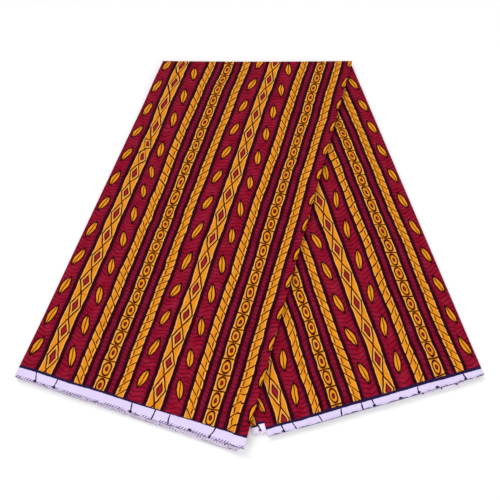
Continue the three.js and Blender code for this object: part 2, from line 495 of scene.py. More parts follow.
    def lay_row(self, wing: Wing, across: np.ndarray, level: np.ndarray, share: float) -> np.ndarray:
        """Where one row of points of the cloth lies on a wing.

        Args:
            wing: The wing.
            across: The points' distances across it.
            level: Their levels, which change by parts of one round the folds.
            share: How far down the wing the row is.

        Returns:
            The points, from the middle of the doubled fold.
        """
        shown_reach = self.reach(wing, np.array(self.shown_level(wing)))
        panel = np.clip(level - 1.0, 0.0, self.panels - 1.0)
        ends = np.array([wing.drops(drop) for drop in DROPS])
        known = np.arange(self.panels)
        drop_a, drop_b = np.interp(panel, known, ends[:, 0]), np.interp(panel, known, ends[:, 1])
        own_end = self.reach(wing, level) + between(drop_a, drop_b, across / self.panel_width + 0.5)
        wave_height, wave_length = self.wave
        own_end = own_end + wave_height * np.sin(across / wave_length + 2.3 * panel)
        own_end = own_end + wing.bow * np.cos(math.pi * across / self.panel_width)
        to_end = float(eased(np.array(1.0 - (1.0 - share) * float(shown_reach) / self.end_zone)))
        along = self.down_wing(wing, across, np.array(share)) + (own_end - shown_reach) * to_end
        point = self.place(wing, across, along)

        low, high = self.shown_edges(wing, np.array(share))
        past_top = float(eased(np.array(share / self.top_zone)))
        free = past_top * (self.uncovered(point) if wing.side is Side.RIGHT else 1.0)
        to_edge = np.minimum(across - low, high - across)
        at_edge = 0.5 + 0.5 * np.cos(math.pi * np.clip(to_edge / self.edge_zone, 0.0, 1.0))
        from_inside = self.from_inside(level)
        height = from_inside if wing.side is Side.LEFT else self.stack - from_inside
        height = height * (1.0 + self.edge_rise * at_edge * free)
        height = height + self.lift(wing, level, across, np.array(share)) * free
        shown = np.clip(1.0 - np.abs(level - self.shown_level(wing)), 0.0, 1.0)
        swell_start, swell_run = self.swell_edge
        loose = eased((to_edge - swell_start) / swell_run) * shown
        rest = self.loose_lift * past_top if wing.side is Side.LEFT else self.loose_lift * free
        height = height + (rest + self.swell(wing, across, along) * free) * loose
        near_end = max(0.0, 1.0 - (1.0 - share) * float(shown_reach) / self.curl_zone)
        height = height + between(*wing.curl, across / self.panel_width + 0.5) * near_end**2
        return np.column_stack([point, self.underside(wing, point) + height])

    def run_row(self, wing: Wing, run: Run, share: float,
                shared: np.ndarray) -> tuple[np.ndarray, np.ndarray]:
        """One row of a run across the strip, without its folds.

        Args:
            wing: The wing.
            run: The run.
            share: How far down the wing the row is.
            shared: The columns that every panel has.

        Returns:
            The points' distances across the wing, and along the cloth from the run's start.
        """
        half_a = float(self.half_width(wing, FOLDS_A[run.panel // 2], np.array(share)))
        half_b = float(self.half_width(wing, FOLDS_B[(run.panel + 1) // 2], np.array(share)))
        low = -half_a + self.nose_radius(run, True) + run.skip
        high = half_b - self.nose_radius(run, False)
        if run.reach is None:
            squeeze = min(1.0, (high - self.column_inset / 2) / shared[-1])
            inner = np.where(shared > 0.0, shared * squeeze, shared)
            first, last = (low + inner[0]) / 2, (high + inner[-1]) / 2
            spots = np.concatenate([[low, first], inner, [last, high]])
            spots = spots if run.from_a else spots[::-1]
            return spots, np.abs(spots - spots[0]) / (high - low) * self.panel_width
        inner = np.linspace(0.0, run.reach, 5)
        hangs_on_a = run.from_a != run.starts
        spots = low + inner if hangs_on_a else high - inner
        spots = spots[::-1] if run.starts else spots
        return spots, np.abs(spots - spots[0])

    def across_row(self, wing: Wing, runs: tuple[Run, ...], share: float, steps: tuple[int, int, int],
                   nose_steps: int) -> tuple[np.ndarray, np.ndarray, np.ndarray]:
        """One row of a stretch of cloth, across the strip.

        Args:
            wing: The wing.
            runs: The runs of the stretch, in the order of the cloth's own length.
            share: How far down the wing the row is.
            steps: The steps of a panel before, on and after the ramp.
            nose_steps: The steps round a folded edge.

        Returns:
            The points' distances across the wing, their levels, and their distances along the
            cloth's own length.
        """
        across, level, length = [], [], []
        shared = self.columns(wing, share, steps)
        start = self.cloth_start(runs[0])
        for i, run in enumerate(runs):
            spots, lengths = self.run_row(wing, run, share, shared)
            across.append(spots)
            level.append(np.full(len(spots), float(run.level)))
            length.append(start + lengths)
            start += lengths[-1]
            if i + 1 == len(runs):
                break
            following = runs[i + 1]
            apart = following.level - run.level
            radius = abs(apart) * self.rise / 2
            angle = np.linspace(0.0, math.pi, nose_steps + 1)[1:-1]
            outwards = 1.0 if run.from_a else -1.0
            across.append(spots[-1] + outwards * radius * np.sin(angle))
            level.append((run.level + following.level) / 2 - apart / 2 * np.cos(angle))
            length.append(start + radius * angle)
            start += math.pi * radius
        return np.concatenate(across), np.concatenate(level), np.concatenate(length)

    def nose_radius(self, run: Run, on_a: bool) -> float:
        """The radius of the folded edge that a run has on side A or B."""
        outer_pair = run.panel in (0, 1, self.panels - 2, self.panels - 1)
        return self.rise if on_a and outer_pair else self.rise / 2

    def cloth_start(self, run: Run) -> float:
        """Where on the cloth's own length a stretch that begins with this run starts."""
        if run.starts and run.reach == self.tuck and run.panel == 0:
            return 0.0
        before = self.tuck + run.panel * self.panel_width
        if run.reach is None:
            return before + (self.turn_under if run.panel == 1 else 0.0)
        return before + self.panel_width - run.reach

    def sheet(self, runs: tuple[Run, ...], steps: tuple[int, int, int], nose_steps: int) -> Sheet:
        """The middle surface of a stretch of cloth.

        Args:
            runs: The runs of the stretch, in the order of the cloth's own length.
            steps: The steps of a panel before, on and after the ramp.
            nose_steps: The steps round a folded edge.

        Returns:
            The sheet, in the object's own frame.
        """
        rows, lengths = [], []
        tops = {}
        for wing in (self.left, self.right):
            shares = self.stations(wing)
            laid = []
            for share in shares:
                across, level, length = self.across_row(wing, runs, float(share), steps, nose_steps)
                laid.append((self.lay_row(wing, across, level, float(share)), length))
                if share == 0.0:
                    tops[wing.side] = (across / math.cos(wing.turn), level, length)
            rows.append([points for points, _ in laid])
            lengths.append([length for _, length in laid])
        bend, bend_lengths = [], []
        left_x, level, length = tops[Side.LEFT]
        right_x = tops[Side.RIGHT][0]
        radius = self.wing_gap / 2 + self.from_inside(level)
        for turn in np.linspace(math.pi, 0.0, self.bend_rows + 1)[1:-1]:
            x = between(right_x, left_x, turn / math.pi)
            bend.append(
                np.column_stack([x, radius * math.sin(turn), self.fold_axis - radius * math.cos(turn)])
            )
            bend_lengths.append(length)
        points = np.array(rows[0][::-1] + bend + rows[1])
        along_strip = np.array(lengths[0][::-1] + bend_lengths + lengths[1])
        steps_down = np.linalg.norm(np.diff(points, axis=0), axis=2)
        down = np.vstack([np.zeros(points.shape[1]), np.cumsum(steps_down, axis=0)])
        down = down / down[-1] * self.cloth_width
        return Sheet(self.pulled_in(points) + self.middle, np.stack([along_strip, down], axis=2))

    def pulled_in(self, points: np.ndarray) -> np.ndarray:
        """The points with the doubled fold drawn in a little at its left end and its middle."""
        x, y, z = points[..., 0], points[..., 1], points[..., 2]
        near_fold = eased(1.0 + y / self.pull_zone)
        hollow = self.fold_hollow * (1.0 - (x / self.half_fold) ** 2)
        inwards = np.maximum(-x, 0.0) * self.fold_pinch
        return np.stack([x + inwards * near_fold, y - hollow * near_fold, z], axis=-1)


Number = Union["Field", float]


@dataclass(frozen=True)
class Field:
    """A number that changes over the cloth: a socket of a node tree, with arithmetic."""

    board: "NodeBoard"
    socket: bpy.types.NodeSocket

    def __add__(self, other: Number) -> "Field":
        """The sum."""
        return self.board.math("ADD", self, other)

    def __sub__(self, other: Number) -> "Field":
        """The difference."""
        return self.board.math("SUBTRACT", self, other)

    def __rsub__(self, other: float) -> "Field":
        """The difference from a plain number."""
        return self.board.math("SUBTRACT", other, self)

    def __mul__(self, other: Number) -> "Field":
        """The product."""
        return self.board.math("MULTIPLY", self, other)

    def __truediv__(self, other: Number) -> "Field":
        """The quotient."""
        return self.board.math("DIVIDE", self, other)

    def __abs__(self) -> "Field":
        """The size without the sign."""
        return self.board.math("ABSOLUTE", self)

    __radd__ = __add__
    __rmul__ = __mul__

    def of(self, operation: str, *others: Number) -> "Field":
        """The result of another of the Math node's operations."""
        return self.board.math(operation, self, *others)

    def within(self, edge: Number, blur: float) -> "Field":
        """1 where this is less than the edge, 0 where it is more, with a blurred border."""
        return self.board.math("MULTIPLY_ADD", edge - self, 1.0 / blur, 0.5, clamp=True)

    def repeat(self, period: float) -> "Field":
        """The distance from the nearest of a row of places that are a period apart."""
        return self.board.math("WRAP", self, period / 2, -period / 2)


@dataclass(frozen=True)
class NodeBoard:
    """Adds nodes to a tree and joins them up."""

    tree: bpy.types.NodeTree

    def add(self, kind: str, **settings: object) -> bpy.types.Node:
        """A new node with these settings."""
        node = self.tree.nodes.new(kind)
        for name, value in settings.items():
            setattr(node, name, value)
        return node

    def feed(self, socket: bpy.types.NodeSocket, value: object) -> None:
        """Joins a field or another socket to an input, or sets the input to a plain value."""
        if isinstance(value, Field):
            value = value.socket
        if isinstance(value, bpy.types.NodeSocket):
            self.tree.links.new(value, socket)
        else:
            socket.default_value = value

    def math(self, operation: str, *values: Number, clamp: bool = False) -> Field:
        """The result of a Math node."""
        node = self.add("ShaderNodeMath", operation=operation, use_clamp=clamp)
        for socket, value in zip(node.inputs, values):
            self.feed(socket, value)
        return Field(self, node.outputs[0])

    def split(self, vector: bpy.types.NodeSocket) -> tuple[Field, Field, Field]:
        """The three parts of a vector."""
        node = self.add("ShaderNodeSeparateXYZ")
        self.feed(node.inputs[0], vector)
        return Field(self, node.outputs[0]), Field(self, node.outputs[1]), Field(self, node.outputs[2])

    def join(self, x: Number, y: Number, z: Number = 0.0) -> bpy.types.NodeSocket:
        """A vector of three numbers."""
        node = self.add("ShaderNodeCombineXYZ")
        for socket, value in zip(node.inputs, (x, y, z)):
            self.feed(socket, value)
        return node.outputs[0]

    def noise(self, x: Number, y: Number, size: float, seed: float, detail: float = 2.0) -> Field:
        """Smooth noise about zero, from -1 to 1 at most, with patches of about this size."""
        node = self.add("ShaderNodeTexNoise", noise_dimensions="3D")
        self.feed(node.inputs["Vector"], self.join(x, y, seed * size))
        node.inputs["Scale"].default_value = 1.0 / size
        node.inputs["Detail"].default_value = detail
        return self.math("MULTIPLY_ADD", Field(self, node.outputs["Fac"]), 2.0, -1.0)

    def speckle(self, cell: Number, seed: float) -> Field:
        """A number from 0 to 1 of its own for each whole number."""
        node = self.add("ShaderNodeTexWhiteNoise", noise_dimensions="2D")
        self.feed(node.inputs["Vector"], self.join(cell, seed))
        return Field(self, node.outputs["Value"])

    def blend(self, share: Number, first: object, second: object,
              way: str = "MIX") -> bpy.types.NodeSocket:
        """A colour between two colours."""
        node = self.add("ShaderNodeMix", data_type="RGBA", blend_type=way)
        self.feed(node.inputs[0], share)
        colours = [socket for socket in node.inputs if socket.type == "RGBA"]
        self.feed(colours[0], first)
        self.feed(colours[1], second)
        return next(socket for socket in node.outputs if socket.type == "RGBA")


Colour = tuple[float, float, float, float]


def dyed(red: int, green: int, blue: int) -> Colour:
    """A colour from its three screen values, as the shader wants it."""
    parts = [part / 255 for part in (red, green, blue)]
    red_part, green_part, blue_part = (
        part / 12.92 if part <= 0.04045 else ((part + 0.055) / 1.055) ** 2.4 for part in parts
    )
    return red_part, green_part, blue_part, 1.0


CRIMSON = dyed(136, 8, 36)
CRIMSON_LIGHT = dyed(153, 26, 52)
PLUM = dyed(74, 8, 46)
GOLD = dyed(230, 147, 29)
GOLD_DEEP = dyed(219, 132, 23)
GOLD_LIGHT = dyed(248, 196, 120)
MAROON_BLACK = dyed(48, 2, 1)
INDIGO = dyed(51, 9, 24)
NAVY = dyed(34, 24, 62)
LILAC = dyed(223, 209, 246)
# A paler copy of the selvedge lilac, with painted light: it brightens the hidden layers' selvedges and
# the loose threads, which lie in shade between the layers.
PALE_LILAC_PAINTED_LIGHT = dyed(246, 233, 255)


class Motif(Enum):
    """What is drawn along a gold stripe."""

    LOZENGES = "lozenges"
    ROPE = "rope"
    BEADS = "beads"


class Stripe(NamedTuple):
    """One gold stripe of the print, in millimetres."""

    middle: float  # from the start of the half repeat
    half_width: float
    outline: float
    motif: Motif


# Half a repeat: the other half is its mirror image.
STRIPES = (
    Stripe(0.0, 9.0, 5.2, Motif.LOZENGES),
    Stripe(46.5, 5.4, 4.8, Motif.ROPE),
    Stripe(75.0, 7.2, 4.8, Motif.BEADS),
)


@dataclass(frozen=True)
class WaxPrint:
    """The printed design and the selvedges, as a node group on the flat cloth.

    The sizes are in millimetres. Where there are two, they are the left and the right wing's.

    Attributes:
        stripes: The gold stripes of half a repeat.
        half_repeat: The width of half a repeat.
        lozenge: The length of a lozenge.
        rope_turn: The length of a turn of the rope.
        bead: The length of a bead.
        leaf_middle: Where the row of leaves is in the half repeat.
        leaf_spacing: From one leaf to the next.
        leaf_half_width: Half the width of a leaf.
        leaf_half_length: Half its length.
        leaf_slant: Its slant, as a slope.
        hatch: From one line of the ground's hatching to the next.
        zigzag: How far a line of the hatching runs before it turns.
        selvedges: The widths of the selvedges.
        borders: The widths of the dark border lines.
        bar_spacing: The length of selvedge that may hold one bar.
        bar_spread: How far a bar may be from the start of its place.
        bar_middle: The middle of a selvedge, which a slanting bar turns about.
        pin_spacing: From one pin mark to the next.
        cloth_width: From selvedge to selvedge.
    """

    stripes: tuple[Stripe, ...] = STRIPES
    half_repeat: float = 75.0
    lozenge: float = 38.0
    rope_turn: float = 13.0
    bead: float = 22.0
    leaf_middle: float = 25.2
    leaf_spacing: float = 46.0
    leaf_half_width: float = 4.2
    leaf_half_length: float = 13.0
    leaf_slant: float = 0.22
    hatch: float = 6.0
    zigzag: float = 12.0
    selvedges: tuple[float, float] = (12.6, 8.8)
    borders: tuple[float, float] = (2.7, 2.9)
    bar_spacing: float = 27.0
    bar_spread: float = 15.0
    bar_middle: float = 6.0
    pin_spacing: float = 3.7
    cloth_width: float = 1192.0

    def group(self) -> bpy.types.NodeTree:
        """Builds the group: Cloth, Crackle, Marks and the Selvedge's colour in, Color and Dye out."""
        tree = bpy.data.node_groups.new("wax_print", "ShaderNodeTree")
        sockets = tree.interface
        sockets.new_socket("Cloth", in_out="INPUT", socket_type="NodeSocketVector")
        crackle = sockets.new_socket("Crackle", in_out="INPUT", socket_type="NodeSocketFloat")
        crackle.default_value = 0.5
        sockets.new_socket("Marks", in_out="INPUT", socket_type="NodeSocketFloat")
        sockets.new_socket("Selvedge", in_out="INPUT", socket_type="NodeSocketColor")
        sockets.new_socket("Color", in_out="OUTPUT", socket_type="NodeSocketColor")
        sockets.new_socket("Dye", in_out="OUTPUT", socket_type="NodeSocketFloat")
        board = NodeBoard(tree)
        entry, end = board.add("NodeGroupInput"), board.add("NodeGroupOutput")
        cloth_u, cloth_v, _ = board.split(entry.outputs["Cloth"])
        flat_u, flat_v = cloth_u * MM_PER_METRE, cloth_v * MM_PER_METRE
        hand_u = flat_u + board.noise(flat_u, flat_v, 60, 1) * 3.2
        hand_u = hand_u + board.noise(flat_u, flat_v, 9, 2) * 1.2
        hand_v = flat_v + board.noise(flat_u, flat_v, 34, 3) * 4.0
        hand_v = hand_v + board.noise(flat_u, flat_v, 7, 4) * 0.8

        across = hand_u.of("PINGPONG", self.half_repeat)
        color = self.ground(board, flat_u, flat_v, hand_u, hand_v)
        color = self.leaves(board, across, hand_v, color)
        patches = board.noise(flat_u, flat_v, 22, 5).within(0.0, 0.5)
        dark = board.blend(patches, MAROON_BLACK, INDIGO)
        gold = board.blend(board.noise(flat_u, flat_v, 13, 18).within(0.0, 0.9), GOLD, GOLD_DEEP)
        drawn = None
        for stripe in self.stripes:
            color, outlined = self.draw(board, stripe, across, hand_v, color, dark, gold)
            drawn = outlined if drawn is None else drawn.of("MAXIMUM", outlined)
        color = self.cracked(board, flat_u, flat_v, color, Field(board, entry.outputs["Crackle"]))
        marks_and_shade = Field(board, entry.outputs["Marks"])
        color = self.edged(board, flat_u, flat_v, color, entry.outputs["Selvedge"], marks_and_shade)
        board.feed(end.inputs["Color"], color)
        board.feed(end.inputs["Dye"], drawn)
        return tree

    def ground(self, board: NodeBoard, flat_u: Field, flat_v: Field, hand_u: Field,
               hand_v: Field) -> bpy.types.NodeSocket:
        """The crimson ground with its fine hatching."""
        patches = board.noise(flat_u, flat_v, 16, 6).within(0.0, 0.7)
        color = board.blend(patches, CRIMSON, CRIMSON_LIGHT)
        zigzag = hand_u.of("PINGPONG", self.zigzag) * 0.4
        line = abs((hand_v + zigzag).repeat(self.hatch))
        weight = board.noise(flat_u, flat_v, 19, 7) * 0.8 + 0.65
        return board.blend(line.within(weight, 0.6) * 0.7, color, MAROON_BLACK)

    def leaves(self, board: NodeBoard, across: Field, hand_v: Field,
               under: bpy.types.NodeSocket) -> bpy.types.NodeSocket:
        """A row of small gold leaves on the ground between two stripes."""
        along = hand_v.repeat(self.leaf_spacing)
        away = abs(across - self.leaf_middle + along * self.leaf_slant)
        edge = self.leaf_half_width - along * along * (self.leaf_half_width / self.leaf_half_length**2)
        color = board.blend(away.within(edge + 3.0, 2.4) * 0.5, under, PLUM)
        color = board.blend(away.within(edge + 2.0, 0.7), color, MAROON_BLACK)
        rib = away.within(0.7, 0.5)
        return board.blend(away.within(edge, 0.6), color, board.blend(rib, GOLD, MAROON_BLACK))

    def draw(self, board: NodeBoard, stripe: Stripe, across: Field, hand_v: Field,
             under: bpy.types.NodeSocket, dark: bpy.types.NodeSocket,
             gold: bpy.types.NodeSocket) -> tuple[bpy.types.NodeSocket, Field]:
        """Draws one gold stripe, with its outline and motif, over the colour under it.

        Args:
            board: The board of the group.
            stripe: The stripe.
            across: The place across the half repeat.
            hand_v: The place along the stripes.
            under: The colour that the stripe is drawn on.
            dark: The colour of the outlines.
            gold: The colour of the stripe.

        Returns:
            The colour with the stripe on it, and where the stripe and its outline are.
        """
        off = across - stripe.middle
        away = abs(off)
        edge = stripe.half_width
        body = away.within(edge, 0.7)
        outlined = away.within(edge + stripe.outline, 0.9)
        bleed = away.within(edge + stripe.outline + 2.2, 4.4)
        color = board.blend(bleed * 0.6, under, PLUM)
        color = board.blend(outlined, color, dark)
        color = board.blend(away.within(edge + 0.45 * stripe.outline, 1.6), color, MAROON_BLACK)
        light = (edge - away).within(1.3, 0.6)
        if stripe.motif is Motif.LOZENGES:
            along = abs(hand_v.repeat(self.lozenge))
            rim = away / (edge - 1.2) + along / (self.lozenge / 2)
            lines = abs(rim - 1.0).within(0.13, 0.08).of("MAXIMUM", rim.within(0.56, 0.09))
            heart = rim.within(0.36, 0.09)
            light = light.of("MAXIMUM", abs(rim - 0.8).within(0.06, 0.06))
        elif stripe.motif is Motif.ROPE:
            turns = (hand_v + off * 1.1).repeat(self.rope_turn)
            lines = (abs(abs(turns) - self.rope_turn / 2)).within(1.0, 0.6)
            strokes = abs(off - edge * 0.4).within(0.7, 0.4)
            strokes = strokes * abs(turns).within(self.rope_turn * 0.28, 0.6)
            lines = lines.of("MAXIMUM", strokes)
            heart = None
        else:
            along = hand_v.repeat(self.bead)
            ring_off, ring_along = off / (edge - 2.2), along / (self.bead / 2 - 2.4)
            ring = (ring_off * ring_off + ring_along * ring_along).of("SQRT")
            lines = abs(ring - 1.0).within(0.16, 0.1).of("MAXIMUM", ring.within(0.42, 0.12))
            lines = lines.of("MAXIMUM", abs(abs(along) - self.bead / 2).within(0.9, 0.6))
            heart = ring.within(0.2, 0.12)
        drawn = board.blend(light * 0.6, gold, GOLD_LIGHT)
        drawn = board.blend(lines, drawn, MAROON_BLACK)
        if heart is not None:
            drawn = board.blend(heart, drawn, CRIMSON_LIGHT)
        return board.blend(body, color, drawn), outlined

    def cracked(self, board: NodeBoard, flat_u: Field, flat_v: Field, color: bpy.types.NodeSocket,
                amount: Field) -> bpy.types.NodeSocket:
        """The fine veins that dye leaves in the cracks of the wax."""
        bent_u = flat_u + board.noise(flat_u, flat_v, 12, 8) * 7.0
        bent_v = flat_v + board.noise(flat_u, flat_v, 12, 9) * 7.0
        cells = board.add("ShaderNodeTexVoronoi", voronoi_dimensions="2D", feature="DISTANCE_TO_EDGE")
        board.feed(cells.inputs["Vector"], board.join(bent_u / 26.0, bent_v / 34.0))
        cells.inputs["Scale"].default_value = 1.0
        veins = Field(board, cells.outputs["Distance"]).within(0.008, 0.016)
        patches = board.noise(flat_u, flat_v, 55, 10).within(0.05, 0.3)
        return board.blend(veins * patches * amount, color, INDIGO)

    def edged(self, board: NodeBoard, flat_u: Field, flat_v: Field, color: bpy.types.NodeSocket,
              pale: bpy.types.NodeSocket, marks_and_shade: Field) -> bpy.types.NodeSocket:
        """The dark border lines and the two plain selvedges, with their bars, blots and pin dashes, and
        a dark line along the cut edge that is partly dye and partly painted shade.

        Args:
            board: The board of the group.
            flat_u: The place along the selvedges.
            flat_v: The place from one selvedge to the other.
            color: The colour of the print.
            pale: The colour of the selvedges.
            marks_and_shade: How dark the dye dashes and the painted shade line at the very edge are.

        Returns:
            The colour of the whole cloth.
        """
        other = flat_v.of("GREATER_THAN", self.cloth_width / 2)
        inwards = flat_v.of("MINIMUM", self.cloth_width - flat_v)
        wavy = inwards + board.noise(flat_u, flat_v, 20, 11) * 0.9
        wavy = wavy + board.noise(flat_u, flat_v, 4, 12) * 0.5
        selvedge = other * (self.selvedges[1] - self.selvedges[0]) + self.selvedges[0]
        border = other * (self.borders[1] - self.borders[0]) + self.borders[0]
        border = border - board.noise(flat_u, flat_v, 190, 25) * 4.5
        color = board.blend(wavy.within(border + selvedge, 0.7), color, NAVY)
        faded = board.noise(flat_u, flat_v, 24, 13).within(0.0, 0.8) * 0.08
        color = board.blend(wavy.within(selvedge, 0.5), color, board.blend(faded, pale, PLUM))

        cell = (flat_u / self.bar_spacing).of("FLOOR")
        luck = [board.speckle(cell + other * 97.0, seed) for seed in (1.0, 2.0, 3.0, 4.0)]
        spot = (flat_u / self.bar_spacing).of("FRACT") * self.bar_spacing
        spot = spot - luck[0] * self.bar_spread - self.bar_middle
        slant = (inwards - self.bar_middle) * (luck[1] - 0.5) * 0.8
        slanted = abs(spot + slant + board.noise(flat_u, flat_v, 5, 14) * 1.2)
        bar = slanted.within(board.noise(flat_u, flat_v, 7, 15) * 0.6 + 0.85, 0.5)
        chosen = luck[2].of("GREATER_THAN", other * -0.25 + 0.55)
        color = board.blend(bar * chosen * inwards.within(selvedge + 1.0, 0.5), color, NAVY)
        low = inwards - 2.0
        blot = (spot * spot * 0.3 + low * low).within(1.8, 1.6)
        color = board.blend(blot * luck[3].of("GREATER_THAN", 0.7), color, NAVY)

        # Pin dashes near the cut edge and a ragged dark line right at it, stronger on the right wing:
        # partly dye, partly painted shade of the gap under the edge.
        pins = abs((flat_u + inwards * 0.9).repeat(self.pin_spacing)).within(0.85, 0.5)
        row = abs(inwards - 1.5 + board.noise(flat_u, flat_v, 26, 16) * 1.0).within(1.4, 0.5)
        some = board.noise(flat_u, flat_v, 11, 17).within(0.12, 0.3) * (other * -0.7 + 1.0)
        ragged = board.noise(flat_u, flat_v, 9, 19) * 2.4 + board.noise(flat_u, flat_v, 3, 24) * 1.2
        rim = inwards.within(ragged + marks_and_shade * 1.6 + other * 0.4 - 1.0, 0.5)
        return board.blend((pins * row * some).of("MAXIMUM", rim) * (marks_and_shade * 0.3 + 0.6), color, NAVY)


@dataclass(frozen=True)
class PlainWeave:
    """The weave, as a node group on the flat cloth. The sizes are in millimetres."""

    thread: float = 0.36
    slub_width: float = 0.8
    slub_length: float = 14.0

    def group(self) -> bpy.types.NodeTree:
        """Builds the group: Cloth in, Height and Shade out."""
        tree = bpy.data.node_groups.new("plain_weave", "ShaderNodeTree")
        sockets = tree.interface
        sockets.new_socket("Cloth", in_out="INPUT", socket_type="NodeSocketVector")
        sockets.new_socket("Height", in_out="OUTPUT", socket_type="NodeSocketFloat")
        sockets.new_socket("Shade", in_out="OUTPUT", socket_type="NodeSocketFloat")
        board = NodeBoard(tree)
        entry, end = board.add("NodeGroupInput"), board.add("NodeGroupOutput")
        cloth_u, cloth_v, _ = board.split(entry.outputs["Cloth"])
        flat_u, flat_v = cloth_u * MM_PER_METRE, cloth_v * MM_PER_METRE
        turn = math.pi / self.thread
        over_under = (flat_u * turn).of("SINE") * (flat_v * turn).of("SINE")
        stretch = self.slub_length / self.slub_width
        weft = board.noise(flat_u / stretch, flat_v, self.slub_width, 20, detail=1.0)
        warp = board.noise(flat_u, flat_v / stretch, self.slub_width, 21, detail=1.0)
        board.feed(end.inputs["Height"], over_under * 0.35 + weft * 0.4 + warp * 0.3 + 0.5)
        board.feed(end.inputs["Shade"], over_under * 0.03 + weft * 0.06 + warp * 0.04 + 0.97)
        return tree


@dataclass(frozen=True)
class Groups:
    """The node groups that the finishes share."""

    wax_print: bpy.types.NodeTree
    plain_weave: bpy.types.NodeTree


def new_finish(name: str) -> tuple[bpy.types.Material, NodeBoard, bpy.types.Node]:
    """A new material with a Principled BSDF, its board and that shader."""
    material = bpy.data.materials.new(name)
    material.use_nodes = True
    board = NodeBoard(material.node_tree)
    shader = next(node for node in material.node_tree.nodes if node.type == "BSDF_PRINCIPLED")
    return material, board, shader


@dataclass(frozen=True)
class PrintedCotton:
    """Printed cotton with a plain weave.

    Attributes:
        name: The material's name.
        selvedge: The colour of the undyed selvedges; the hidden layers get a paler copy with painted
            light.
        marks_and_shade: How dark the dye dashes and the painted shade line at their very edge are.
        crackle: How dark the veins of the cracked wax are.
        roughness: The roughness of the undyed cloth.
        sheen: The soft shine of the fibres.
        gloss: How much light the smooth face reflects.
        weave_depth: The height of the weave, in metres.
    """

    name: str
    selvedge: Colour = LILAC
    marks_and_shade: float = 0.9
    crackle: float = 0.5
    roughness: float = 0.7
    sheen: float = 0.01
    gloss: float = 0.015
    weave_depth: float = 0.00006

    def build(self, groups: Groups) -> bpy.types.Material:
        """Makes the material from the shared groups."""
        material, board, shader = new_finish(self.name)
        cloth = board.add("ShaderNodeUVMap", uv_map=CLOTH_MAP).outputs["UV"]
        print_node = board.add("ShaderNodeGroup", node_tree=groups.wax_print)
        weave_node = board.add("ShaderNodeGroup", node_tree=groups.plain_weave)
        for node in (print_node, weave_node):
            board.feed(node.inputs["Cloth"], cloth)
        print_node.inputs["Crackle"].default_value = self.crackle
        print_node.inputs["Marks"].default_value = self.marks_and_shade
        print_node.inputs["Selvedge"].default_value = self.selvedge
        shade = weave_node.outputs["Shade"]
        gray = board.add("ShaderNodeCombineColor")
        for socket in gray.inputs:
            board.feed(socket, shade)
        tinted = board.blend(1.0, print_node.outputs["Color"], gray.outputs[0], way="MULTIPLY")
        board.feed(shader.inputs["Base Color"], tinted)
        dye = Field(board, print_node.outputs["Dye"])
        board.feed(shader.inputs["Roughness"], dye * -0.06 + self.roughness)
        bump = board.add("ShaderNodeBump")
        bump.inputs["Strength"].default_value = 0.5
        bump.inputs["Distance"].default_value = self.weave_depth
        board.feed(bump.inputs["Height"], weave_node.outputs["Height"])
        board.feed(shader.inputs["Normal"], bump.outputs["Normal"])
        shader.inputs["Specular IOR Level"].default_value = self.gloss
        shader.inputs["Sheen Weight"].default_value = self.sheen
        shader.inputs["Sheen Roughness"].default_value = 0.5
        return material


@dataclass(frozen=True)
class LooseThread:
    """Cotton thread ends, some of them dyed."""

    name: str = "selvedge_thread"
    roughness: float = 0.85

    def build(self) -> bpy.types.Material:
        """Makes the material, which reads how dark each thread is."""
        material, board, shader = new_finish(self.name)
        darkness = Field(board, board.add("ShaderNodeAttribute", attribute_name=DYE).outputs["Fac"])
        share = (1.0 - darkness).within(0.2, 0.2)
        # The pale threads take the lilac with painted light; the dark ones are navy dye.
        board.feed(shader.inputs["Base Color"], board.blend(share, PALE_LILAC_PAINTED_LIGHT, NAVY))
        shader.inputs["Roughness"].default_value = self.roughness
        shader.inputs["Specular IOR Level"].default_value = 0.2
        return material


def put_in_scene(name: str, mesh: bpy.types.Mesh) -> bpy.types.Object:
    """A new object in the scene, at the origin."""
    made = bpy.data.objects.new(name, mesh)
    bpy.context.scene.collection.objects.link(made)
    return made


def directions(points: np.ndarray, axis: int) -> np.ndarray:
    """The way on from each point of a grid along one of its axes, halfway between its two steps."""
    steps = np.diff(points, axis=axis)
    steps = steps / np.maximum(np.linalg.norm(steps, axis=2, keepdims=True), NO_LENGTH)
    before = np.concatenate([steps.take([0], axis), steps], axis=axis)
    after = np.concatenate([steps, steps.take([-1], axis)], axis=axis)
    total = before + after
    return total / np.maximum(np.linalg.norm(total, axis=2, keepdims=True), NO_LENGTH)


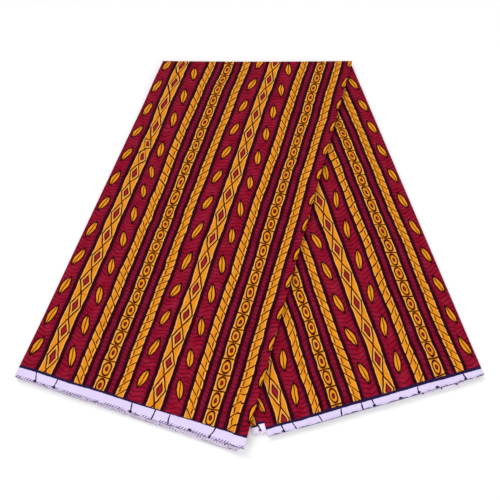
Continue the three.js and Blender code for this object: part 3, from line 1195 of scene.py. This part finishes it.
@dataclass(frozen=True)
class ClothStretch:
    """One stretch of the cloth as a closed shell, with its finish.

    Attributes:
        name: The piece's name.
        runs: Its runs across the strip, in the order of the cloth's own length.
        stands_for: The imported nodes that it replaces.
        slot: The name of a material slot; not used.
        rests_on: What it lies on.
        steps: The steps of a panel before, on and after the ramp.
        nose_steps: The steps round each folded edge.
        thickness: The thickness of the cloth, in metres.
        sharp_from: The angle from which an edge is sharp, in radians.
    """

    name: str
    runs: tuple[Run, ...]
    stands_for: tuple[str, ...]
    slot: str
    rests_on: tuple[str, ...]
    steps: tuple[int, int, int]
    nose_steps: int = 6
    thickness: float = 0.00026
    sharp_from: float = math.radians(60)

    def flat_width(self, strip: FoldedStrip) -> float:
        """How wide this stretch was, laid flat."""
        whole = sum(1 for run in self.runs if run.reach is None)
        parts = sum(run.reach or -run.skip for run in self.runs)
        return whole * strip.panel_width + parts

    def shell(self, sheet: Sheet) -> bpy.types.Mesh:
        """A closed mesh of the cloth's thickness about its middle surface."""
        rows, columns = sheet.points.shape[:2]
        facing = np.cross(directions(sheet.points, 1), directions(sheet.points, 0))
        facing /= np.maximum(np.linalg.norm(facing, axis=2, keepdims=True), NO_LENGTH)
        half = facing * self.thickness / 2
        faced, backed = sheet.points + half, sheet.points - half
        points = np.concatenate([faced.reshape(-1, 3), backed.reshape(-1, 3)])
        front = np.arange(rows * columns).reshape(rows, columns)
        back = front + rows * columns
        faces = [
            np.stack([front[:-1, :-1], front[:-1, 1:], front[1:, 1:], front[1:, :-1]], axis=2),
            np.stack([back[1:, :-1], back[1:, 1:], back[:-1, 1:], back[:-1, :-1]], axis=2),
            np.stack([front[:-1, 0], front[1:, 0], back[1:, 0], back[:-1, 0]], axis=1),
            np.stack([front[1:, -1], front[:-1, -1], back[:-1, -1], back[1:, -1]], axis=1),
            np.stack([front[0, 1:], front[0, :-1], back[0, :-1], back[0, 1:]], axis=1),
            np.stack([front[-1, :-1], front[-1, 1:], back[-1, 1:], back[-1, :-1]], axis=1),
        ]
        quads = np.concatenate([part.reshape(-1, 4) for part in faces])
        mesh = bpy.data.meshes.new(self.name)
        mesh.from_pydata(points.tolist(), [], quads.tolist())
        cloth_map = mesh.uv_layers.new(name=CLOTH_MAP)
        places = np.concatenate([sheet.cloth.reshape(-1, 2)] * 2)
        cloth_map.uv.foreach_set("vector", places[quads.ravel()].astype(np.float32).ravel())
        mesh.shade_smooth()
        mesh.set_sharp_from_angle(angle=self.sharp_from)
        return mesh

    def build(self, strip: FoldedStrip, finish: bpy.types.Material) -> tuple[bpy.types.Object, Sheet]:
        sheet = strip.sheet(self.runs, self.steps, self.nose_steps)
        piece = put_in_scene(self.name, self.shell(sheet))
        piece.data.materials.append(finish)
        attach(piece, "root")
        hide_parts(*self.stands_for)
        return piece, sheet


@dataclass(frozen=True)
class SelvedgeThreads:
    """The short thread ends along the selvedges, set out by Geometry Nodes.

    Attributes:
        name: The piece's name.
        spacing: The distance between places for a thread, in metres.
        share: The share of the places that have one.
        length: The usual length of a thread.
        radius: Its radius.
        splay: How far it may turn from the way the others point, in radians.
        lean: How far they all lean along the selvedge, as a slope.
        twist: How far one may turn about itself, in radians.
        droop: How far its tip hangs, as a share of its length.
        sizes: The shortest and the longest, as shares of the usual length.
        seed: The seed of everything random.
    """

    name: str = "selvedge_threads"
    spacing: float = 0.0033
    share: float = 0.25
    length: float = 0.0016
    radius: float = 0.00014
    splay: float = 0.3
    lean: float = 0.9
    twist: float = 3.0
    droop: float = 0.12
    sizes: tuple[float, float] = (0.55, 1.3)
    seed: int = 7

    def edge_lines(self, sheets: list[Sheet]) -> bpy.types.Object:
        """The selvedges as lines, each point with the way that a thread points there."""
        points, edges, outwards = [], [], []
        for sheet in sheets:
            for row, inner in ((0, 1), (-1, -2)):
                line = sheet.points[row]
                out = line - sheet.points[inner]
                out[:, 2] = 0.0
                out = out / np.linalg.norm(out, axis=1, keepdims=True)
                sideways = np.column_stack([-out[:, 1], out[:, 0], np.zeros(len(out))])
                start = sum(len(part) for part in points)
                edges += [(start + i, start + i + 1) for i in range(len(line) - 1)]
                points.append(line - out * self.radius * 2)
                outwards.append(out + sideways * self.lean)
        mesh = bpy.data.meshes.new(self.name)
        mesh.from_pydata(np.concatenate(points).tolist(), edges, [])
        attribute = mesh.attributes.new("outwards", "FLOAT_VECTOR", "POINT")
        attribute.data.foreach_set("vector", np.concatenate(outwards).astype(np.float32).ravel())
        return put_in_scene(self.name, mesh)

    def tree(self) -> bpy.types.NodeTree:
        """The node tree, with named inputs for its sizes."""
        tree = bpy.data.node_groups.new("thread_ends", "GeometryNodeTree")
        sockets = tree.interface
        sockets.new_socket("Geometry", in_out="INPUT", socket_type="NodeSocketGeometry")
        for name in ("Spacing", "Share", "Length", "Radius", "Splay"):
            sockets.new_socket(name, in_out="INPUT", socket_type="NodeSocketFloat")
        sockets.new_socket("Seed", in_out="INPUT", socket_type="NodeSocketInt")
        sockets.new_socket("Material", in_out="INPUT", socket_type="NodeSocketMaterial")
        sockets.new_socket("Geometry", in_out="OUTPUT", socket_type="NodeSocketGeometry")
        board = NodeBoard(tree)
        entry, end = board.add("NodeGroupInput"), board.add("NodeGroupOutput")

        lines = board.add("GeometryNodeMeshToCurve")
        board.feed(lines.inputs["Mesh"], entry.outputs["Geometry"])
        places = board.add("GeometryNodeResampleCurve", mode="LENGTH")
        board.feed(places.inputs["Curve"], lines.outputs["Curve"])
        board.feed(places.inputs["Length"], entry.outputs["Spacing"])

        thread = board.add("GeometryNodeCurveQuadraticBezier")
        thread.inputs["Resolution"].default_value = 4
        for name, share in (("Start", 0.0), ("Middle", 0.6), ("End", 1.0)):
            droop = -self.droop if name == "End" else 0.0
            scaled = board.add("ShaderNodeVectorMath", operation="SCALE")
            board.feed(scaled.inputs[0], (droop, 0.0, share))
            board.feed(scaled.inputs["Scale"], entry.outputs["Length"])
            board.feed(thread.inputs[name], scaled.outputs["Vector"])
        ring = board.add("GeometryNodeCurvePrimitiveCircle")
        ring.inputs["Resolution"].default_value = 5
        board.feed(ring.inputs["Radius"], entry.outputs["Radius"])
        solid = board.add("GeometryNodeCurveToMesh")
        solid.inputs["Fill Caps"].default_value = True
        board.feed(solid.inputs["Curve"], thread.outputs["Curve"])
        board.feed(solid.inputs["Profile Curve"], ring.outputs["Curve"])

        way = board.add("GeometryNodeInputNamedAttribute", data_type="FLOAT_VECTOR")
        way.inputs["Name"].default_value = "outwards"
        align = board.add("FunctionNodeAlignRotationToVector", axis="Z")
        board.feed(align.inputs["Vector"], way.outputs["Attribute"])
        splay = Field(board, entry.outputs["Splay"])
        splay_down = splay * -1.0
        turn = board.add("FunctionNodeRandomValue", data_type="FLOAT_VECTOR")
        board.feed(turn.inputs["Min"], board.join(splay_down, splay_down, -self.twist))
        board.feed(turn.inputs["Max"], board.join(splay, splay, self.twist))
        board.feed(turn.inputs["Seed"], self.seed_for(board, entry, 1))
        turned = board.add("FunctionNodeRotateRotation", rotation_space="LOCAL")
        board.feed(turned.inputs["Rotation"], align.outputs["Rotation"])
        board.feed(turned.inputs["Rotate By"], turn.outputs["Value"])
        chosen = board.add("FunctionNodeRandomValue", data_type="BOOLEAN")
        board.feed(chosen.inputs["Probability"], entry.outputs["Share"])
        board.feed(chosen.inputs["Seed"], self.seed_for(board, entry, 2))
        size = board.add("FunctionNodeRandomValue", data_type="FLOAT")
        floats = [socket for socket in size.inputs if socket.type == "VALUE"]
        for socket, share in zip(floats, self.sizes):
            socket.default_value = share
        board.feed(size.inputs["Seed"], self.seed_for(board, entry, 3))

        spread = board.add("GeometryNodeInstanceOnPoints")
        board.feed(spread.inputs["Points"], places.outputs["Curve"])
        board.feed(spread.inputs["Selection"], self.active(chosen.outputs))
        board.feed(spread.inputs["Instance"], solid.outputs["Mesh"])
        board.feed(spread.inputs["Rotation"], turned.outputs["Rotation"])
        board.feed(spread.inputs["Scale"], board.join(1.0, 1.0, Field(board, self.active(size.outputs))))
        darkness = board.add("FunctionNodeRandomValue", data_type="FLOAT")
        board.feed(darkness.inputs["Seed"], self.seed_for(board, entry, 4))
        stored = board.add("GeometryNodeStoreNamedAttribute", data_type="FLOAT", domain="INSTANCE")
        stored.inputs["Name"].default_value = DYE
        board.feed(stored.inputs["Geometry"], spread.outputs["Instances"])
        board.feed(self.active(stored.inputs, "Value"), self.active(darkness.outputs))
        real = board.add("GeometryNodeRealizeInstances")
        board.feed(real.inputs["Geometry"], stored.outputs["Geometry"])
        x, y, z = board.split(board.add("GeometryNodeInputPosition").outputs["Position"])
        above_ground = board.add("GeometryNodeSetPosition")
        board.feed(above_ground.inputs["Geometry"], real.outputs["Geometry"])
        board.feed(above_ground.inputs["Position"], board.join(x, y, z.of("MAXIMUM", LEAST_HEIGHT)))
        finished = board.add("GeometryNodeSetMaterial")
        board.feed(finished.inputs["Geometry"], above_ground.outputs["Geometry"])
        board.feed(finished.inputs["Material"], entry.outputs["Material"])
        board.feed(end.inputs["Geometry"], finished.outputs["Geometry"])
        return tree

    @staticmethod
    def seed_for(board: NodeBoard, entry: bpy.types.Node, draw: int) -> Field:
        """A seed of its own for each random draw, from the tree's seed."""
        return board.math("ADD", Field(board, entry.outputs["Seed"]), draw)

    @staticmethod
    def active(sockets: bpy.types.bpy_prop_collection, name: str = "") -> bpy.types.NodeSocket:
        """The socket in use among those of a node that has one for each type of data."""
        return next(socket for socket in sockets if socket.enabled and name in socket.name)

    def build(self, sheets: list[Sheet], finish: bpy.types.Material) -> bpy.types.Object:
        piece = self.edge_lines(sheets)
        modifier = piece.modifiers.new("threads", "NODES")
        modifier.node_group = self.tree()
        values = {
            "Spacing": self.spacing,
            "Share": self.share,
            "Length": self.length,
            "Radius": self.radius,
            "Splay": self.splay,
            "Seed": self.seed,
            "Material": finish,
        }
        for item in modifier.node_group.interface.items_tree:
            if item.in_out == "INPUT" and item.name in values:
                modifier[item.identifier] = values[item.name]
        graph = bpy.context.evaluated_depsgraph_get()
        mesh = bpy.data.meshes.new_from_object(piece.evaluated_get(graph), depsgraph=graph)
        piece.modifiers.clear()
        piece.data = mesh
        mesh.name = self.name
        mesh.shade_smooth()
        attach(piece, "root")
        return piece


@dataclass(frozen=True)
class FoldedCloth:
    """The whole cloth: its outermost and innermost stretches, the layers between and its threads."""

    strip: FoldedStrip = field(default_factory=FoldedStrip)

    def outer(self) -> ClothStretch:
        """The stretch that shows on the left wing and round the doubled fold."""
        strip = self.strip
        return ClothStretch(
            name="outer_cloth",
            runs=(
                Run(0, 1, from_a=True, reach=strip.tuck, starts=True),
                Run(0, 0, from_a=False),
                Run(1, 2, from_a=True, reach=strip.turn_under),
            ),
            stands_for=("left_panel", "top_fold"),
            slot="printed_face",
            rests_on=("hidden_layers",),
            steps=(21, 30, 21),
            nose_steps=8,
        )

    def inner(self) -> ClothStretch:
        """The stretch that shows on the right wing."""
        strip = self.strip
        last = strip.panels - 1
        return ClothStretch(
            name="inner_cloth",
            runs=(
                Run(last - 1, last, from_a=False, reach=strip.turn_under, starts=True),
                Run(last, last + 2, from_a=True),
                Run(last, last + 1, from_a=False, reach=strip.tuck),
            ),
            stands_for=("right_panel",),
            slot="printed_face",
            rests_on=("hidden_layers",),
            steps=(21, 30, 21),
            nose_steps=8,
        )

    def hidden(self) -> ClothStretch:
        """The stretch between the two, folded to and fro ten times."""
        strip = self.strip
        last = strip.panels - 1
        gap = strip.turn_under + strip.joint
        return ClothStretch(
            name="hidden_layers",
            runs=tuple(
                Run(i, i + 1, from_a=i % 2 == 1, skip=gap if i in (1, last - 1) else 0.0)
                for i in range(1, last)
            ),
            stands_for=("left_layers", "right_layers", "top_fold_layers"),
            slot="folded_layers",
            rests_on=("inner_cloth",),
            steps=(7, 10, 7),
            nose_steps=5,
        )

    def build(self) -> Iterator[bpy.types.Object]:
        """Makes every piece of the cloth, in order."""
        groups = Groups(WaxPrint().group(), PlainWeave().group())
        face = PrintedCotton("printed_face", crackle=0.55).build(groups)
        # The hidden layers' selvedges take the paler lilac with painted light, and a fainter dark edge
        # line of dye and painted shade.
        layers = PrintedCotton("folded_layers", PALE_LILAC_PAINTED_LIGHT, marks_and_shade=0.15, crackle=0.4, roughness=0.78)
        made = []
        dressed = ((self.outer(), face), (self.hidden(), layers.build(groups)), (self.inner(), face))
        for stretch, finish in dressed:
            piece, sheet = stretch.build(self.strip, finish)
            made.append((stretch, piece, sheet))
            yield piece
        threads = SelvedgeThreads().build([sheet for _, _, sheet in made], LooseThread().build())
        yield threads
        for stretch, piece, _ in made:
            stretch.flat_width(self.strip)
            list(stretch.rests_on)


@dataclass(frozen=True)
class Studio:
    """The plain pale floor, the soft light and the camera. Lengths are in metres.

    Attributes:
        elevation: How steeply the camera looks down.
        distance: How far it is from what it is aimed at.
        lens: Its focal length, in millimetres.
        sensor: The width of its sensor, in millimetres.
        aim: What it is aimed at, from the middle of the doubled fold.
        floor_half: Half the side of the floor.
        world_light: The strength of the even surround.
        sun_strength: The strength of the soft sun behind the cloth.
        sun_spread: How wide the sun is.
        sun_from: The way that it comes from.
        lamp_power: The power of the lamp above the front, in watts.
        lamp_size: Its width.
        lamp_place: Where it is.
        lamp_aim: What it is turned to.
    """

    elevation: float = math.radians(65.5)
    distance: float = 0.816
    lens: float = 40.32
    sensor: float = 36.0
    aim: tuple[float, float] = (-0.011, -0.3455)
    floor_half: float = 6.0
    world_light: float = 0.695
    sun_strength: float = 1.3
    sun_spread: float = math.radians(40)
    sun_from: tuple[float, float, float] = (-0.48, 0.86, 0.76)
    lamp_power: float = 3.8
    lamp_size: float = 1.2
    lamp_place: tuple[float, float, float] = (0.0, -0.8, 1.0)
    lamp_aim: tuple[float, float, float] = (0.0, -0.3, 0.0)

    def floor(self) -> bpy.types.Object:
        """The floor, which the cloth lies on."""
        half = self.floor_half
        corners = [(-half, -half, 0.0), (half, -half, 0.0), (half, half, 0.0), (-half, half, 0.0)]
        mesh = bpy.data.meshes.new("studio_floor")
        mesh.from_pydata(corners, [], [(0, 1, 2, 3)])
        floor = put_in_scene("studio_floor", mesh)
        material, board, shader = new_finish("pale_floor")
        place = board.add("ShaderNodeTexCoord").outputs["Object"]
        across, along, _ = board.split(place)
        patches = board.noise(across, along, 0.9, 30.0).within(0.0, 1.6)
        color = board.blend(patches, dyed(254, 254, 254), dyed(252, 252, 253))
        board.feed(shader.inputs["Base Color"], color)
        shader.inputs["Roughness"].default_value = 0.9
        shader.inputs["Specular IOR Level"].default_value = 0.1
        mesh.materials.append(material)
        floor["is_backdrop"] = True
        return floor

    def light(self) -> None:
        """An even pale surround, a soft sun from behind the cloth and a wide lamp above its front."""
        scene = bpy.context.scene
        world = bpy.data.worlds.new("studio_surround")
        world.use_nodes = True
        background = next(node for node in world.node_tree.nodes if node.type == "BACKGROUND")
        background.inputs["Color"].default_value = (1.0, 1.0, 1.0, 1.0)
        background.inputs["Strength"].default_value = self.world_light
        scene.world = world
        sun = bpy.data.lights.new("back_sun", "SUN")
        sun.energy = self.sun_strength
        sun.angle = self.sun_spread
        lamp = bpy.data.lights.new("front_lamp", "AREA")
        lamp.shape = "DISK"
        lamp.size = self.lamp_size
        lamp.energy = self.lamp_power
        way = Vector(self.lamp_place) - Vector(self.lamp_aim)
        placed = ((sun, self.sun_from, Vector(self.sun_from)), (lamp, self.lamp_place, way))
        for light, place, back in placed:
            made = bpy.data.objects.new(light.name, light)
            made.location = place
            made.rotation_mode = "QUATERNION"
            made.rotation_quaternion = back.to_track_quat("Z", "Y")
            scene.collection.objects.link(made)

    def camera(self, middle: np.ndarray) -> None:
        """The camera, aimed from in front and above at a point down from the doubled fold."""
        data = bpy.data.cameras.new("camera")
        data.sensor_width = self.sensor
        data.lens = self.lens
        camera = bpy.data.objects.new("camera", data)
        target = Vector((middle[0] + self.aim[0], middle[1] + self.aim[1], 0.0))
        back = Vector((0.0, -math.cos(self.elevation), math.sin(self.elevation)))
        camera.location = target + back * self.distance
        camera.rotation_mode = "QUATERNION"
        camera.rotation_quaternion = back.to_track_quat("Z", "Y")
        bpy.context.scene.collection.objects.link(camera)
        bpy.context.scene.camera = camera

    def build(self, middle: np.ndarray) -> None:
        """Makes everything that isn't part of the cloth."""
        self.camera(middle)
        self.light()
        self.floor()
        bpy.context.scene.view_settings.view_transform = "Standard"


def write_sizes() -> None:
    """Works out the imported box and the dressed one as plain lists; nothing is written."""
    boxes = {"cad": cad_box, "visual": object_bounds()}
    plain = {name: [list(corner) for corner in box] for name, box in boxes.items()}


def main() -> None:
    """Builds the studio and the cloth, and reports each piece."""
    logging.basicConfig(level=logging.INFO, format="%(name)s: %(message)s")
    cloth = FoldedCloth()
    Studio().build(cloth.strip.middle)
    for piece in cloth.build():
        log.info("%s has %d faces", piece.name, len(piece.data.polygons))
    write_sizes()


if __name__ == "__main__":
    main()
